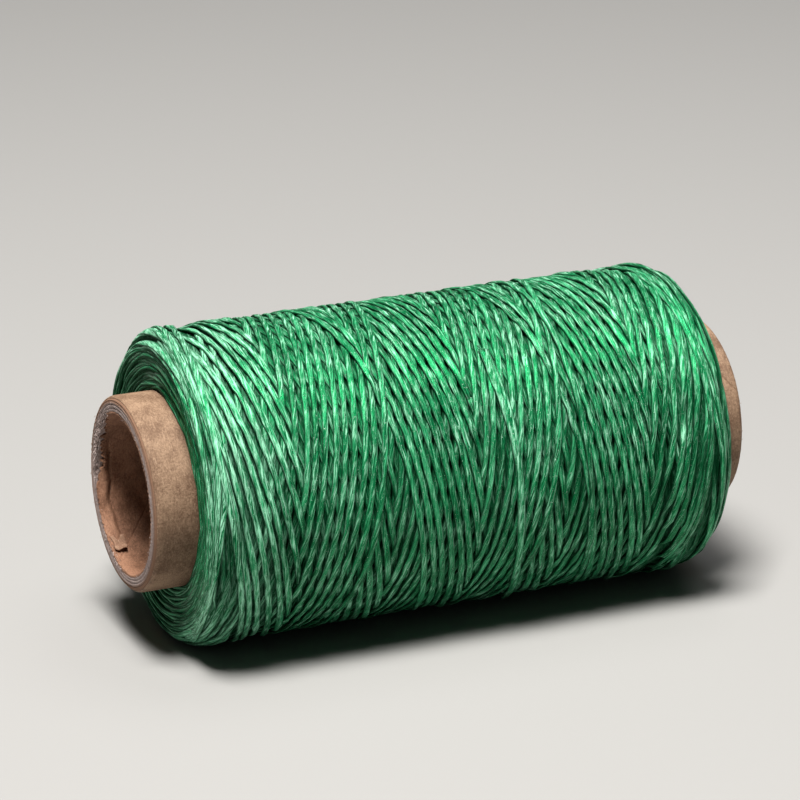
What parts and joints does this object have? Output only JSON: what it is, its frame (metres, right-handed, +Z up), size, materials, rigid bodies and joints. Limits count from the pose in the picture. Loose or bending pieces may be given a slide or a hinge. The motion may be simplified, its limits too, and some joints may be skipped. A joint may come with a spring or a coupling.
{
  "type": "waxed thread spool",
  "caption": "Spool of flat waxed thread, cross-wound as a round package on a longer spiral-wound paper tube with an open bore, lying on its side.",
  "frame": {"origin": "lowest point of the thread package, halfway along the spool, on the surface that it lies on", "axes": "+X along the spool's axis, +Z up, -Y towards the front, where the thread's free end lies"},
  "size_m": [0.114, 0.0573, 0.0559],
  "materials": {
    "kraft_liner": "matt brown kraft paper",
    "kraft_wrap": "matt brown kraft paper, burnished at the rims",
    "grey_chipboard": "matt grey board, cut edge",
    "waxed_thread": "green waxed polyester, soft sheen"
  },
  "bodies": {
    "root": {"inner_liner": "kraft_liner", "board_ply_1": "grey_chipboard", "board_ply_2": "grey_chipboard", "board_ply_3": "grey_chipboard", "board_ply_4": "grey_chipboard", "outer_wrap": "kraft_wrap", "thread_start_tail": "waxed_thread", "thread_base_winding": "waxed_thread", "thread_body_winding": "waxed_thread", "thread_outer_winding": "waxed_thread", "thread_free_end": "waxed_thread"}
  },
  "joints": []
}
